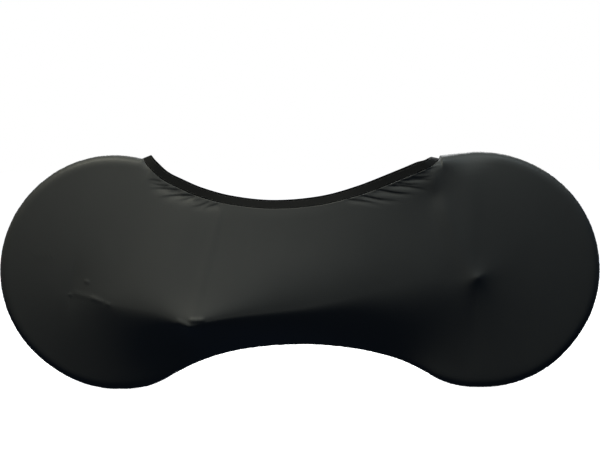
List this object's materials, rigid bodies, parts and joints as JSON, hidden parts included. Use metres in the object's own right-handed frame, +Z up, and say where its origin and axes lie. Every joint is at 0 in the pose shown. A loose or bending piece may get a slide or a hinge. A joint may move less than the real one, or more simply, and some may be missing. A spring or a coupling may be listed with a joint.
{
  "type": "bicycle cover",
  "caption": "Stretch-knit bicycle cover in its worn shape: a hollow sleeve with round ends, an arched waist and a long mouth on top, edged with flat elastic.",
  "frame": {"origin": "on the floor, below the middle of the length and of the width", "axes": "+X along the length, towards the end where the mouth lies wide and flat, the right one in the picture; +Z up; the camera's side is -Y"},
  "size_m": [1.8936, 0.3302, 0.7442],
  "materials": {
    "stretch_knit": "fine smooth stretch knit, near black, with a soft sheen",
    "elastic_band": "flat woven elastic, black, matt"
  },
  "bodies": {
    "root": {"near_panel": "stretch_knit", "far_panel": "stretch_knit", "mouth_band": "elastic_band"}
  },
  "joints": []
}
